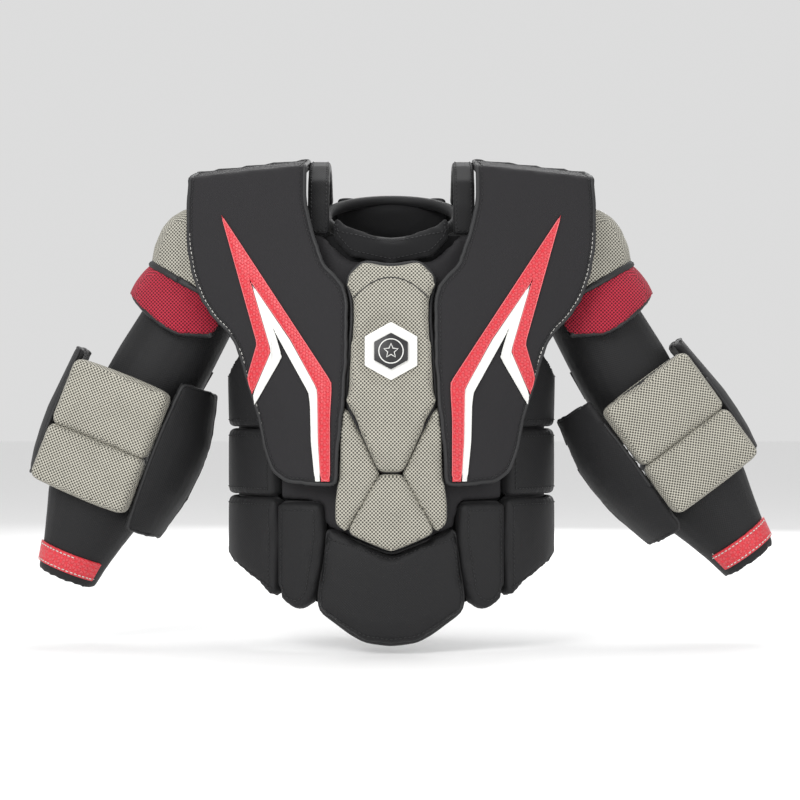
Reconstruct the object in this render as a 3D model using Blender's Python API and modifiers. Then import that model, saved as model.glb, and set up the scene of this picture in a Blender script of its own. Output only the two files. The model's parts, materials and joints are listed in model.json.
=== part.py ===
"""Ice-hockey goalkeeper's chest and arm protector, made of its separate pads, shells and straps.

Lengths are millimetres until a mesh is finished, and then metres. +Z is up, the front faces -Y
and the wearer's left side is +X. The origin is on the shoulder line, at the wearer's middle.
"""

import math

import bmesh
import bpy
from mathutils import Matrix, Vector

MM = 0.001

# Driving dimensions of the body part.
TORSO_HALF_WIDTH = 182.0
TORSO_BACK_DEPTH = 100.0
FRONT_DEPTHS = ((0, 75), (-60, 86), (-120, 101), (-180, 114), (-240, 124), (-300, 128))
PATTERN_HALF_WIDTH = 182.0      # the pattern outlines below are drawn for this half-width
VEST_THICKNESS = 3.0
CHEST_THICKNESS = 13.0
BLOCK_THICKNESS = 22.0
STERNUM_THICKNESS = 22.0
BADGE_THICKNESS = 2.2
COLLAR_THICKNESS = 16.0
LAYER_GAP = 0.8
SEAT_GAP = 0.6
WRAP_STEP = 7.5                 # degrees between the folds that bend a pad round the body
HEIGHT_STEP = 30.0

# Chest flaps.
FLAP_THICKNESS = 11.0
FLAP_LOW_HEIGHT = -290.0
FLAP_HIGH_HEIGHT = -70.0
FLAP_LOW_DEPTH = 169.0
FLAP_HIGH_DEPTH = 128.0
FLAP_LOW_REACH = 224.0
FLAP_HIGH_REACH = 372.0
FLAP_INNER_EDGE = 105.0
FLAP_OUTER_EDGE = 252.0
FOLD_INNER_HEIGHT = 22.0
FOLD_OUTER_HEIGHT = 9.0
SHELF_BACK = 12.0
SHELF_SLOPE = 0.145
SHELF_ALONG = 160.0              # pattern height at the rear edge of the shelf
CHEVRON_THICKNESS = 2.0

# Shoulder yoke, back and side straps.
YOKE_STRAP_WIDTH = 26.0
YOKE_STRAP_THICKNESS = 12.0
YOKE_THICKNESS = 14.0
YOKE_DEPTH_OFFSET = -12.0
YOKE_TOP = -12.0
YOKE_BOTTOM = -150.0
SPINE_WIDTH = 110.0
SPINE_LENGTH = 268.0
SPINE_THICKNESS = 19.0
WEBBING_WIDTH = 38.0
WEBBING_THICKNESS = 2.5
STRAP_HEIGHT = -336.0
BUCKLE_TURN = 35.0
BUCKLE_WIDTH = 48.0
BUCKLE_THICKNESS = 13.0
SOCKET_LENGTH = 28.0
INSERT_LENGTH = 26.0
INSERT_WALL = 6.5
INSERT_TRAVEL = 14.0
PRONG_LENGTH = 20.0
PRONG_WIDTH = 9.0
PRONG_THICKNESS = 5.0
RIB_REAR_ANGLE = 98.0

# Arms.
SHOULDER_REACH = TORSO_HALF_WIDTH + 37.0
SHOULDER_HEIGHT = -91.0
UPPER_ARM_LENGTH = 264.0
UPPER_ARM_TILT = 29.7
FOREARM_TILTS = {1: 36.0, -1: 21.5}
GUARD_YAW = 13.0
SLEEVE_TOP_RADIUS = 48.0
SLEEVE_RADIUS = 60.0
SLEEVE_THICKNESS = 8.0
SLEEVE_SPREAD = 135.0
SLEEVE_START = -14.0
SLEEVE_TAPER_END = 112.0
SLEEVE_END_ABOVE_ELBOW = 20.0
ELBOW_CUT_BACK = 52.0
TOGGLE_RADIUS = 8.0
TOGGLE_CLEARANCE = 2.5
GUARD_CLEARANCE = 0.3
ARM_STRAP_THICKNESS = 2.5
ARM_STRAP_WIDTH = 40.0
ARM_STRAP_PLACE = 150.0
HANGER_THICKNESS = 4.0
HANGER_WIDTH = 46.0
HANGER_START = 4.5               # how far outside the yoke's side edge the hanger begins
HANGER_SETBACK = 2.0
HANGER_BLEND = 0.55              # share of the hanger that bends towards the cap's back
TOGGLE_SEAT = SEAT_GAP + 0.45    # the sleeve's facets bulge a little at the toggle

# Shoulder caps: an ellipsoid about the arm's pivot, with a flared skirt below it.
CAP_REACH = 88.0
CAP_DEPTH = 74.0
CAP_HEIGHT = 66.0
CAP_LOWER_HEIGHT = 99.0
CAP_THICKNESS = 9.0
CAP_RIM = 47.0
CAP_INNER_CUT = 25.0
SKIRT_THICKNESS = 7.0
SKIRT_FLARE_PLACE = 72.0
SKIRT_FLARE_REACH = 84.0
SKIRT_END_REACH = 82.0
SKIRT_FRONT_END = 107.0
SKIRT_SIDE_END = 94.0
SKIRT_SPREAD = 120.0

# Elbow guard and forearm.
GUARD_DEPTH = 93.0
GUARD_UPPER_WIDTH = 131.0
GUARD_LOWER_WIDTH = 132.0
GUARD_HALF_LENGTH = 80.0
GUARD_FOLD = -7.0
GUARD_SEAM = 0.9
GUARD_EDGE_ROUND = 7.0
WING_THICKNESS = 9.0
WING_FRONT_DEPTH = 80.0
WING_LEAN = 0.717              # share of a wing's thickness that leans into its guard's side
WING_INNER_REACHES = ((100, 96), (27, 114), (-21, 112), (-66, 102), (-98, 94))
WING_OUTER_REACHES = ((92, 94), (0, 102), (-45, 99), (-78, 92))
WING_REAR_ANGLE = 99.0
FOREARM_WIDTHS = ((-22, 61), (-80, 67), (-150, 45), (-192, 37))
FOREARM_THICKNESS = 7.0
FOREARM_SPREAD = 140.0
FOREARM_START = -22.0
FOREARM_END = -192.0
TAB_LOW = -181.0
TAB_HIGH = -156.0
TAB_SPREAD = 68.0
TAB_THICKNESS = 3.0

BLACK_KNIT = ("black_knit", (0.042, 0.041, 0.045), 0.85)
BLACK_NYLON = ("black_nylon", (0.030, 0.030, 0.031), 0.70)
BLACK_LINER = ("black_liner", (0.022, 0.022, 0.023), 0.90)
GREY_MESH = ("grey_mesh", (0.35, 0.34, 0.29), 0.80)
RED_MESH = ("red_mesh", (0.42, 0.035, 0.06), 0.75)
RED_VINYL = ("red_vinyl", (0.62, 0.06, 0.09), 0.35)
WHITE_VINYL = ("white_vinyl", (0.80, 0.80, 0.77), 0.35)
BLACK_PLASTIC = ("black_plastic", (0.015, 0.015, 0.016), 0.40)
WEBBING = ("black_webbing", (0.028, 0.028, 0.030), 0.80)

SIDES = ((1, "left"), (-1, "right"))

for scene_object in list(bpy.data.objects):
    bpy.data.objects.remove(scene_object, do_unlink=True)

PARTS = bpy.data.collections.new("goalkeeper_chest_and_arm_protector")
bpy.context.scene.collection.children.link(PARTS)


def material(look):
    """Return the Principled material of a (name, colour, roughness) look."""
    name, colour, roughness = look
    found = bpy.data.materials.get(name)
    if found:
        return found
    made = bpy.data.materials.new(name)
    made.use_nodes = True
    shader = made.node_tree.nodes["Principled BSDF"]
    shader.inputs["Base Color"].default_value = (*colour, 1.0)
    shader.inputs["Roughness"].default_value = roughness
    shader.inputs["Metallic"].default_value = 0.0
    return made


def between(value, stations):
    """Read a value off stations of (place, size), straight between them and level past the ends."""
    ordered = sorted(stations)
    if value <= ordered[0][0]:
        return ordered[0][1]
    for (low, low_size), (high, high_size) in zip(ordered, ordered[1:]):
        if value <= high:
            return low_size + (high_size - low_size) * (value - low) / (high - low)
    return ordered[-1][1]


def add_object(name, mesh, look, origin=None):
    """Link a mesh given in millimetres as an object whose origin is at the given place."""
    origin = Vector(origin) if origin else Vector((0, 0, 0))
    mesh.transform(Matrix.Translation(-origin))
    mesh.transform(Matrix.Scale(MM, 4))
    mesh.name = name
    made = bpy.data.objects.new(name, mesh)
    made.location = origin * MM
    made.data.materials.append(material(look))
    PARTS.objects.link(made)
    return made


def flat_prism(outline):
    """Make a closed prism, one unit thick, from a flat outline drawn with a filled 2D curve."""
    curve = bpy.data.curves.new("outline", "CURVE")
    curve.dimensions = "2D"
    curve.fill_mode = "BOTH"
    curve.extrude = 0.5
    spline = curve.splines.new("POLY")
    spline.points.add(len(outline) - 1)
    for point, (across, up) in zip(spline.points, outline):
        point.co = (across, up, 0, 1)
    spline.use_cyclic_u = True
    drawn = bpy.data.objects.new("outline", curve)
    bpy.context.scene.collection.objects.link(drawn)
    depsgraph = bpy.context.evaluated_depsgraph_get()
    mesh = bpy.data.meshes.new_from_object(drawn.evaluated_get(depsgraph))
    bpy.data.objects.remove(drawn)
    return mesh


def bent_pad(name, outline, place, folds, look, origin=None, side=1):
    """Bend a flat outline into a pad: place(across, up, outer) gives each corner's position.

    Side -1 mirrors the finished shape, so both sides have the very same faces.
    """
    mesh = flat_prism(outline)
    shape = bmesh.new()
    shape.from_mesh(mesh)
    bmesh.ops.remove_doubles(shape, verts=shape.verts[:], dist=0.001)
    bmesh.ops.dissolve_limit(shape, angle_limit=0.001, verts=shape.verts[:], edges=shape.edges[:])
    for point, normal in folds:
        geometry = shape.verts[:] + shape.edges[:] + shape.faces[:]
        bmesh.ops.bisect_plane(shape, geom=geometry, dist=0.001, plane_co=point, plane_no=normal)
    for vertex in shape.verts:
        vertex.co = place(vertex.co.x, vertex.co.y, vertex.co.z > 0)
    bmesh.ops.triangulate(shape, faces=shape.faces[:])
    bmesh.ops.scale(shape, vec=(side, 1, 1), verts=shape.verts[:])
    bmesh.ops.recalc_face_normals(shape, faces=shape.faces[:])
    shape.to_mesh(mesh)
    shape.free()
    return add_object(name, mesh, look, origin)


def wrap_folds():
    """Fold lines of everything that lies round the body: every few degrees, and by height."""
    upright = [((step * WRAP_STEP, 0, 0), (1, 0, 0)) for step in range(-32, 33)]
    count = int(-FRONT_DEPTHS[-1][0] / HEIGHT_STEP)
    level = [((0, -step * HEIGHT_STEP, 0), (0, 1, 0)) for step in range(count + 1)]
    return upright + level


WRAP_FOLDS = wrap_folds()


def wrap(angle, height, offset):
    """Place a point on the body: angle from the front, height, and distance off its surface."""
    turn = math.radians(angle)
    depth = between(height, FRONT_DEPTHS) if math.cos(turn) > 0 else TORSO_BACK_DEPTH
    across = (TORSO_HALF_WIDTH + offset) * math.sin(turn)
    return Vector((across, -(depth + offset) * math.cos(turn), height))


def to_angles(outline, offset):
    """Turn an outline drawn flat across the front into angles round the body."""
    return [(math.degrees(math.asin(across / (PATTERN_HALF_WIDTH + offset))), height)
            for across, height in outline]


def both_sides(half):
    """Complete a symmetric outline from its right-hand half, drawn from top to bottom."""
    return half + [(-across, height) for across, height in reversed(half) if across > 0]


def layer_pad(name, outline, inner, thickness, look, side=1):
    """Make a pad that lies on the body between two offsets; side -1 mirrors it."""
    def place(angle, height, outer):
        return wrap(angle, height, inner + thickness if outer else inner)
    return bent_pad(name, outline, place, WRAP_FOLDS, look, side=side)


FOAM_OFFSET = VEST_THICKNESS + LAYER_GAP
STERNUM_OFFSET = FOAM_OFFSET + CHEST_THICKNESS + LAYER_GAP
BADGE_OFFSET = STERNUM_OFFSET + STERNUM_THICKNESS + LAYER_GAP
CORE_OFFSET = BADGE_OFFSET + BADGE_THICKNESS + LAYER_GAP

VEST = [(0, -72), (20, -58), (24, -63), (44, -63), (50, -110), (62, -175), (82, -234), (98, -238),
        (98, -455), (68, -476), (56, -488), (48, -500), (37, -518), (32, -518), (26, -524),
        (19, -537), (14, -549), (9, -559), (0, -563)]
CHEST = [(0, -105.5), (17, -94), (28, -61), (36, -61), (42, -66), (44, -190), (44, -392),
         (24.6, -394), (23.3, -426), (0, -456)]
BELLY = [(0, -459.5), (23.3, -429), (26.6, -506), (26, -529), (19.4, -544), (14.5, -556),
         (9.1, -566), (0, -570)]
RIB_UPPER = [(45.2, -192), (62, -198), (80, -230), (97, -234), (98, -302.5), (45.2, -302.5)]
RIB_LOWER = [(45.2, -306), (98, -306), (98, -388), (45.2, -388)]
HIP = [(44.2, -391.5), (97, -391.5), (97, -460), (68, -481), (56, -494), (49, -506), (46, -514),
       (44.2, -508)]
WAIST = [(25.0, -397), (43.2, -397), (43.2, -500), (41, -518), (37, -526), (33, -526), (30, -520),
         (27.9, -506), (24.6, -437)]
COLLAR_FRONT = [(0, -69), (64, -51), (74, -40), (76, -64), (53, -90), (0, -102)]
STERNUM_UPPER = [(0, -103.5), (36, -98), (53, -112), (57, -125), (51, -144), (50, -169), (54, -219),
                 (57.5, -272), (14, -357), (0, -357)]
STERNUM_SIDE = [(59, -277), (61.5, -319), (64.5, -369), (69, -394), (69, -420), (57, -429),
                (16.5, -360)]
STERNUM_LOWER = [(0, -361), (13.5, -361), (54, -431), (0, -453.5)]
BADGE_HALF_WIDTH = 32.0
BADGE_HALF_HEIGHT = 36.0
BADGE_CENTRE = -209.0
CORE_HALF_WIDTH = 20.5
CORE_HALF_HEIGHT = 22.5


def hexagon(half_width, half_height, centre):
    """Outline of a hexagon that stands on a point."""
    shoulder = half_height / 2
    return [(0, centre + half_height), (half_width, centre + shoulder),
            (half_width, centre - shoulder), (0, centre - half_height)]


def make_front():
    """Liner, chest, belly and side blocks, breastbone pads, collar and badge."""
    layer_pad("vest_liner", both_sides(VEST), 0, VEST_THICKNESS, BLACK_LINER)
    layer_pad("chest_panel", both_sides(CHEST), FOAM_OFFSET, CHEST_THICKNESS, BLACK_KNIT)
    layer_pad("belly_pad", both_sides(BELLY), FOAM_OFFSET, BLOCK_THICKNESS, BLACK_NYLON)
    collar = to_angles(both_sides(COLLAR_FRONT), FOAM_OFFSET + COLLAR_THICKNESS)
    layer_pad("collar_front", collar, FOAM_OFFSET, COLLAR_THICKNESS, BLACK_LINER)
    upper = to_angles(both_sides(STERNUM_UPPER), BADGE_OFFSET)
    layer_pad("sternum_upper", upper, STERNUM_OFFSET, STERNUM_THICKNESS, GREY_MESH)
    lower = to_angles(both_sides(STERNUM_LOWER), BADGE_OFFSET)
    layer_pad("sternum_lower", lower, STERNUM_OFFSET, STERNUM_THICKNESS, GREY_MESH)
    plate = both_sides(hexagon(BADGE_HALF_WIDTH, BADGE_HALF_HEIGHT, BADGE_CENTRE))
    layer_pad("badge_plate", to_angles(plate, BADGE_OFFSET), BADGE_OFFSET, BADGE_THICKNESS,
              WHITE_VINYL)
    core = both_sides(hexagon(CORE_HALF_WIDTH, CORE_HALF_HEIGHT, BADGE_CENTRE))
    layer_pad("badge_core", to_angles(core, CORE_OFFSET), CORE_OFFSET, BADGE_THICKNESS,
              BLACK_PLASTIC)
    for side, word in SIDES:
        for piece, outline in (("rib_upper", RIB_UPPER), ("rib_lower", RIB_LOWER),
                               ("hip_block", HIP), ("waist_block", WAIST)):
            layer_pad(f"{word}_{piece}", outline, FOAM_OFFSET, BLOCK_THICKNESS, BLACK_NYLON, side)
        layer_pad(f"{word}_sternum_side", to_angles(STERNUM_SIDE, BADGE_OFFSET), STERNUM_OFFSET,
                  STERNUM_THICKNESS, GREY_MESH, side)


FLAP = [(FLAP_INNER_EDGE, SHELF_ALONG), (FLAP_OUTER_EDGE, SHELF_ALONG), (FLAP_OUTER_EDGE, 0), (255, -20),
        (255, -72), (248, -112), (236, -144), (219, -169), (195, -190), (186, -219), (176, -254),
        (163, -294), (156, -331), (146, -358), (126, -371), (68, -374), (64, -319), (58, -269),
        (55, -219), (54.5, -144), (61, -125), (85, -100), (100, -52), (107, -19)]
CHEVRON_RED = [(212, -38), (166, -199), (179, -242), (173, -262), (149, -209), (176, -119),
               (124, -194), (90, -256), (89, -319), (86, -369), (75, -369), (77, -319),
               (74, -269), (73, -248)]
CHEVRON_WHITE = [(172.5, -126), (147.7, -209), (171.6, -263), (170, -275), (135, -216), (146, -180),
                 (101, -260), (99, -276), (98, -319), (93, -369), (87.2, -369), (90.2, -319),
                 (91.2, -256), (125, -195.5)]
FLAP_CUTS = (75, 105, 130, 150, 165, 178, 190, 205, 225)


def fold_height(across):
    """Height of the fold between a flap's front and its shoulder shelf."""
    share = (across - FLAP_INNER_EDGE) / (FLAP_OUTER_EDGE - FLAP_INNER_EDGE)
    return FOLD_INNER_HEIGHT + share * (FOLD_OUTER_HEIGHT - FOLD_INNER_HEIGHT)


def flap_front(across, height, sunk):
    """Depth of the flap's front sheet, sunk below its outer face."""
    low, high = FLAP_LOW_HEIGHT, FLAP_HIGH_HEIGHT
    depth = between(height, ((low, FLAP_LOW_DEPTH), (high, FLAP_HIGH_DEPTH)))
    reach = between(height, ((low, FLAP_LOW_REACH), (high, FLAP_HIGH_REACH)))
    return -depth * math.sqrt(1 - (across / reach) ** 2) + sunk


def flap_place(across, along, sunk):
    """Place a point of the left flap: along is height up to the fold, and runs on past it."""
    width_grade = TORSO_HALF_WIDTH / PATTERN_HALF_WIDTH
    fold = fold_height(across)
    past = along - fold
    if past <= 0:
        near_fold = max(0.0, 1 + past / HEIGHT_STEP)
        height = along - sunk * near_fold
        back = flap_front(across, along, sunk)
    else:
        start = flap_front(across, fold, sunk)
        reach = SHELF_BACK - start
        step = min(past / (SHELF_ALONG - fold), 1.0)
        back = start + reach * step
        height = fold - sunk + (back - start) * SHELF_SLOPE
    return Vector((across * width_grade, back, height))


def flap_folds():
    """Fold lines of a flap: upright cuts, level cuts and the shoulder fold itself."""
    upright = [((cut, 0, 0), (1, 0, 0)) for cut in FLAP_CUTS]
    heights = (FLAP_HIGH_HEIGHT, FLAP_LOW_HEIGHT, -125, -180, -235)
    level = [((0, height, 0), (0, 1, 0)) for height in heights]
    run = Vector((FLAP_OUTER_EDGE - FLAP_INNER_EDGE, FOLD_OUTER_HEIGHT - FOLD_INNER_HEIGHT, 0))
    across_fold = (-run.y, run.x, 0)
    shoulder = [((FLAP_INNER_EDGE, FOLD_INNER_HEIGHT + shift, 0), across_fold)
                for shift in (0, -HEIGHT_STEP)]
    return upright + level + shoulder


def make_flaps():
    """Chest flaps with their appliques."""
    folds = flap_folds()
    hinge = (0, SHELF_BACK, FOLD_INNER_HEIGHT)

    def flap(across, along, outer):
        return flap_place(across, along, 0 if outer else FLAP_THICKNESS)

    def applique(across, along, outer):
        return flap_place(across, along, -SEAT_GAP - (CHEVRON_THICKNESS if outer else 0))

    for side, word in SIDES:
        for piece, outline, place, look in (
                ("chest_flap", FLAP, flap, BLACK_KNIT),
                ("red_chevron", CHEVRON_RED, applique, RED_VINYL),
                ("white_chevron", CHEVRON_WHITE, applique, WHITE_VINYL)):
            bent_pad(f"{word}_{piece}", outline, place, folds, look, hinge, side)


def panel(name, columns, rows, place, thickness, look, core, origin=None):
    """Make a shell: a grid placed by place(u, v), thickened towards the core from that face."""
    shape = bmesh.new()
    bmesh.ops.create_grid(shape, x_segments=columns, y_segments=rows, size=0.5)
    for vertex in shape.verts:
        vertex.co = place(vertex.co.x + 0.5, vertex.co.y + 0.5)
    shape.normal_update()
    outward = sum(face.normal.dot(face.calc_center_median() - core) for face in shape.faces)
    if outward < 0:
        bmesh.ops.reverse_faces(shape, faces=shape.faces[:])
    mesh = bpy.data.meshes.new(name)
    shape.to_mesh(mesh)
    shape.free()
    made = add_object(name, mesh, look, origin)
    thicken(made, thickness)
    return made


def thicken(made, thickness):
    """Give an open surface its thickness, on the side of it that faces away from its normals."""
    solid = made.modifiers.new("thickness", "SOLIDIFY")
    solid.thickness = thickness * MM
    solid.offset = -1
    solid.use_even_offset = True


def box(name, size, centre, look, rounding=0, frame=None, segments=2):
    """Make a box in a frame, with rounded edges if asked."""
    shape = bmesh.new()
    bmesh.ops.create_cube(shape, size=1)
    bmesh.ops.scale(shape, vec=size, verts=shape.verts[:])
    bmesh.ops.translate(shape, vec=centre, verts=shape.verts[:])
    mesh = bpy.data.meshes.new(name)
    shape.to_mesh(mesh)
    shape.free()
    if frame is not None:
        mesh.transform(frame)
    made = add_object(name, mesh, look, frame.translation if frame is not None else None)
    if rounding:
        bevel = made.modifiers.new("rounding", "BEVEL")
        bevel.width = rounding * MM
        bevel.segments = segments
        bevel.limit_method = "ANGLE"
    return made


YOKE_STRAP_OUTER = FLAP_INNER_EDGE - LAYER_GAP


def yoke_path():
    """Side view of the yoke strap's upper face, from the chest panel over to the back yoke."""
    share = math.cos(math.radians(30))
    front = -(between(-60, FRONT_DEPTHS) + FOAM_OFFSET + CHEST_THICKNESS) * share
    back = TORSO_BACK_DEPTH + YOKE_DEPTH_OFFSET + YOKE_THICKNESS - 4
    top = FOLD_INNER_HEIGHT + SHELF_SLOPE * (SHELF_BACK + FLAP_HIGH_DEPTH) - FLAP_THICKNESS / 2
    return [(front, -61 + LAYER_GAP), (front, -25), (front + 13, top - 30), (front + 42, top - 9),
            (-10, top), (20, top), (55, top - 10), (back - 16, top - 28), (back, YOKE_TOP + 12),
            (back, YOKE_TOP + SEAT_GAP)]


def make_yoke():
    """Straps over the shoulders, back yoke, back collar and spine pad."""
    path = yoke_path()
    for side, word in SIDES:
        def over_shoulder(u, v, side=side):
            along = u * (len(path) - 1)
            index = min(int(along + 0.001), len(path) - 2)
            share = along - index
            back = path[index][0] * (1 - share) + path[index + 1][0] * share
            height = path[index][1] * (1 - share) + path[index + 1][1] * share
            width = TORSO_HALF_WIDTH / PATTERN_HALF_WIDTH * YOKE_STRAP_OUTER
            return Vector((side * (width - YOKE_STRAP_WIDTH * v), back, height))

        panel(f"{word}_yoke_strap", len(path) - 1, 1, over_shoulder, YOKE_STRAP_THICKNESS,
              BLACK_NYLON, Vector((0, 0, YOKE_BOTTOM)))

    yoke = [(128, YOKE_TOP), (232, YOKE_TOP), (232, -110), (215, YOKE_BOTTOM),
            (145, YOKE_BOTTOM), (128, -110)]
    layer_pad("back_yoke", yoke, YOKE_DEPTH_OFFSET, YOKE_THICKNESS, BLACK_NYLON)
    collar = [(154, -2), (206, -2), (206, -40), (196, -62), (164, -62), (154, -40)]
    layer_pad("collar_back", collar, YOKE_DEPTH_OFFSET - LAYER_GAP - YOKE_THICKNESS,
              YOKE_THICKNESS, BLACK_LINER)
    inner = TORSO_BACK_DEPTH + YOKE_DEPTH_OFFSET
    box("spine_pad", (SPINE_WIDTH, SPINE_THICKNESS, SPINE_LENGTH),
        (0, inner + SPINE_THICKNESS / 2, YOKE_BOTTOM - SEAT_GAP - SPINE_LENGTH / 2), BLACK_NYLON, 6)


def buckle_frame(side):
    """Frame of a side buckle: y' along the webbing to the rear, x' out of the body."""
    turn = math.radians(BUCKLE_TURN)
    along = Vector((-side * math.sin(turn), math.cos(turn), 0))
    outward = Vector((side * math.cos(turn), math.sin(turn), 0))
    seat = wrap(side * RIB_REAR_ANGLE, STRAP_HEIGHT, FOAM_OFFSET + BLOCK_THICKNESS / 2)
    corner = seat + SEAT_GAP * along / math.cos(turn)
    start = corner + outward * BUCKLE_THICKNESS / 2
    upright = outward.cross(along)
    frame = Matrix((outward, along, upright)).transposed().to_4x4()
    frame.translation = start
    return frame


def cut(target, cutter_mesh):
    """Cut a closed mesh out of an object, and keep the cutter out of the model."""
    tool = bpy.data.objects.new("tool", cutter_mesh)
    bpy.context.scene.collection.objects.link(tool)
    modifier = target.modifiers.new("opening", "BOOLEAN")
    modifier.operation = "DIFFERENCE"
    modifier.object = tool
    depsgraph = bpy.context.evaluated_depsgraph_get()
    mesh = bpy.data.meshes.new_from_object(target.evaluated_get(depsgraph))
    target.modifiers.clear()
    target.data = mesh
    bpy.data.objects.remove(tool)


def block(size, centre):
    """Make a box as a bmesh."""
    shape = bmesh.new()
    bmesh.ops.create_cube(shape, size=1)
    bmesh.ops.scale(shape, vec=size, verts=shape.verts[:])
    bmesh.ops.translate(shape, vec=centre, verts=shape.verts[:])
    return shape


def as_mesh(shape, frame, origin):
    """Finish a bmesh given in a frame as a mesh in metres about an origin."""
    mesh = bpy.data.meshes.new("shape")
    shape.to_mesh(mesh)
    shape.free()
    mesh.transform(frame)
    mesh.transform(Matrix.Translation(-origin))
    mesh.transform(Matrix.Scale(MM, 4))
    return mesh


def place_tool(mesh, made):
    """Move a cutter's mesh from an object's own frame to the world."""
    mesh.transform(made.matrix_basis)
    return mesh


def make_buckles():
    """Side-release buckles and the webbing that runs back to the spine pad."""
    tongue_room = PRONG_LENGTH + 1.5
    for side, word in SIDES:
        frame = buckle_frame(side)
        origin = frame.translation.copy()
        socket = box(f"{word}_buckle_socket", (BUCKLE_THICKNESS, SOCKET_LENGTH, BUCKLE_WIDTH),
                     (0, SOCKET_LENGTH / 2, 0), BLACK_PLASTIC, 0, frame)
        mouth = block((PRONG_THICKNESS + 2 * SEAT_GAP, 2 * tongue_room,
                       BUCKLE_WIDTH - 6), (0, SOCKET_LENGTH, 0))
        cut(socket, place_tool(as_mesh(mouth, frame, origin), socket))

        body_start = SOCKET_LENGTH + SEAT_GAP
        insert = box(f"{word}_buckle_insert", (BUCKLE_THICKNESS - 3, INSERT_LENGTH, BUCKLE_WIDTH),
                     (0, body_start + INSERT_LENGTH / 2, 0), BLACK_PLASTIC, 0, frame)
        for upward in (1, -1):
            prong = block((PRONG_THICKNESS, PRONG_LENGTH + 2, PRONG_WIDTH),
                          (0, body_start - PRONG_LENGTH / 2 + 1,
                           upward * (BUCKLE_WIDTH - 8 - PRONG_WIDTH) / 2))
            join(insert, place_tool(as_mesh(prong, frame, origin), insert))
        slot = block((WEBBING_THICKNESS + 2 * SEAT_GAP, 3 * INSERT_LENGTH,
                      WEBBING_WIDTH + 2 * SEAT_GAP),
                     (0, body_start + INSERT_WALL + 1.5 * INSERT_LENGTH, 0))
        cut(insert, place_tool(as_mesh(slot, frame, origin), insert))
        make_side_strap(side, word, frame, body_start)


def join(target, other_mesh):
    """Join a closed mesh to an object as one body."""
    tool = bpy.data.objects.new("tool", other_mesh)
    bpy.context.scene.collection.objects.link(tool)
    modifier = target.modifiers.new("join", "BOOLEAN")
    modifier.operation = "UNION"
    modifier.object = tool
    depsgraph = bpy.context.evaluated_depsgraph_get()
    mesh = bpy.data.meshes.new_from_object(target.evaluated_get(depsgraph))
    target.modifiers.clear()
    target.data = mesh
    bpy.data.objects.remove(tool)


def make_side_strap(side, word, frame, body_start):
    """Webbing from a buckle's insert round to the spine pad."""
    web_start = body_start + INSERT_WALL + INSERT_TRAVEL + SEAT_GAP
    straight = body_start + INSERT_LENGTH + INSERT_TRAVEL + 3
    half = WEBBING_THICKNESS / 2
    start = frame @ Vector((half, web_start, 0))
    bend = frame @ Vector((half, straight, 0))
    back = TORSO_BACK_DEPTH + YOKE_DEPTH_OFFSET + SPINE_THICKNESS / 2
    end = Vector((side * (SPINE_WIDTH / 2 + SEAT_GAP), back, 0))
    control = bend + (bend - start).normalized() * 28

    def along_back(u, v):
        if u < 0.2:
            point = start.lerp(bend, u / 0.2)
        else:
            share = (u - 0.2) / 0.8
            point = bend.lerp(control, share).lerp(control.lerp(end, share), share)
        return Vector((point.x, point.y, STRAP_HEIGHT + (v - 0.5) * WEBBING_WIDTH))

    panel(f"{word}_side_strap", 10, 1, along_back, WEBBING_THICKNESS, WEBBING,
          Vector((0, 0, STRAP_HEIGHT)))


def arm_frame(side):
    """Frame of an upper arm at its shoulder pivot: z' up the arm, y' to the rear."""
    pivot = Vector((side * SHOULDER_REACH, 0, SHOULDER_HEIGHT))
    return Matrix.Translation(pivot) @ Matrix.Rotation(math.radians(-side * UPPER_ARM_TILT), 4, "Y")


def forearm_frame(side):
    """Frame of a forearm at its elbow, turned so that its guard faces outwards."""
    elbow = arm_frame(side) @ Vector((0, 0, -UPPER_ARM_LENGTH))
    tilt = Matrix.Rotation(math.radians(-side * FOREARM_TILTS[side]), 4, "Y")
    yaw = Matrix.Rotation(math.radians(side * GUARD_YAW), 4, "Z")
    return Matrix.Translation(elbow) @ tilt @ yaw


def limb_panel(name, side, frame, spread, columns, rows, radii, ends, thickness, look, low=None):
    """Make a shell round a limb: radii(drop) and ends(turn) are its form and its end lines."""
    first, last = (-spread, spread) if low is None else (low, spread)

    def around(u, v):
        turn = math.radians(first + (last - first) * u)
        high_end, low_end = ends(turn)
        drop = high_end + (low_end - high_end) * v
        across, deep = radii(drop)
        return frame @ Vector((side * across * math.sin(turn), -deep * math.cos(turn), drop))

    middle = sum(ends(0)) / 2
    return panel(name, columns, rows, around, thickness, look, frame @ Vector((0, 0, middle)),
                 frame.translation)


def sleeve_radii(drop):
    """Half-width and half-depth of the upper-arm sleeve at a height in the arm's frame."""
    radius = between(drop, ((-SLEEVE_TAPER_END, SLEEVE_RADIUS), (0, SLEEVE_TOP_RADIUS)))
    return radius, radius


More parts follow.
